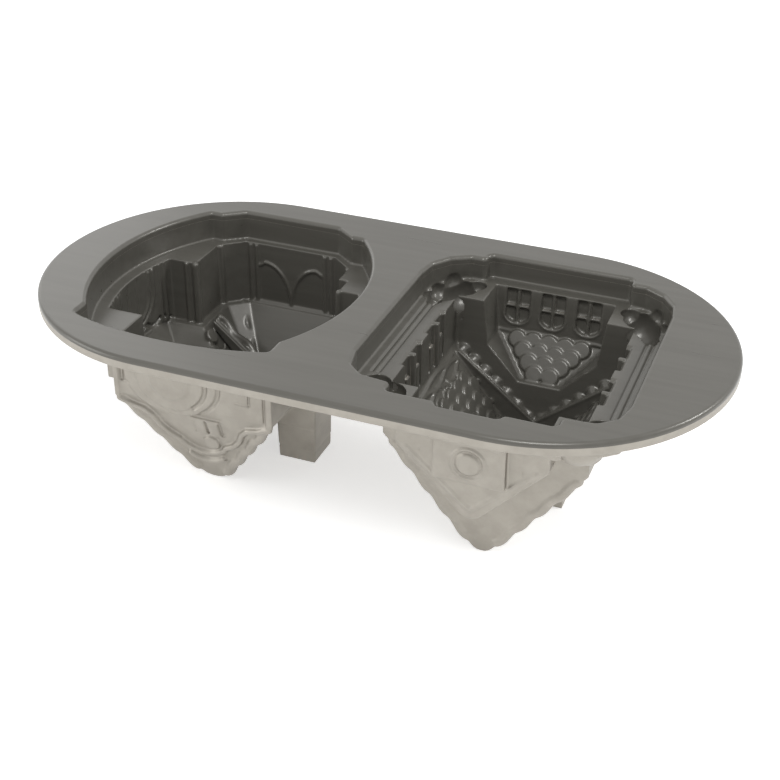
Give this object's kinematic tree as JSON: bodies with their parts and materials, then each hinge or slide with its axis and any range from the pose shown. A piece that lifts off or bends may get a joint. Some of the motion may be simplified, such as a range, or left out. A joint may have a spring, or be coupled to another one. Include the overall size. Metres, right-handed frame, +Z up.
{
  "type": "gingerbread house pan",
  "caption": "Oblong cast pan whose flat plate carries two house-shaped cake moulds that hang below it, roofs down.",
  "frame": {"origin": "on the table under the middle of the plate", "axes": "+Z up out of the moulds, +X along the plate towards the cottage, +Y to the back bays"},
  "size_m": [0.38, 0.203, 0.107],
  "materials": {
    "coated_aluminium": "dark grey non-stick coating baked on the casting, smooth, with a metallic glint",
    "cast_aluminium": "bare cast aluminium, pale champagne grey, satin"
  },
  "bodies": {
    "root": {"cottage_back_bay": "cast_aluminium", "cottage_bush_back_left": "cast_aluminium", "cottage_bush_back_right": "cast_aluminium", "cottage_bush_front_left": "cast_aluminium", "cottage_bush_front_right": "cast_aluminium", "cottage_chimney": "cast_aluminium", "cottage_front_porch": "cast_aluminium", "cottage_roof": "cast_aluminium", "cottage_skirt": "cast_aluminium", "cottage_walls": "cast_aluminium", "manor_back_wing": "cast_aluminium", "manor_bay_left": "cast_aluminium", "manor_bay_right": "cast_aluminium", "manor_chimney": "cast_aluminium", "manor_roof": "cast_aluminium", "manor_skirt": "cast_aluminium", "manor_walls": "cast_aluminium", "rim_lip": "cast_aluminium", "rim_plate": "coated_aluminium"}
  },
  "joints": []
}
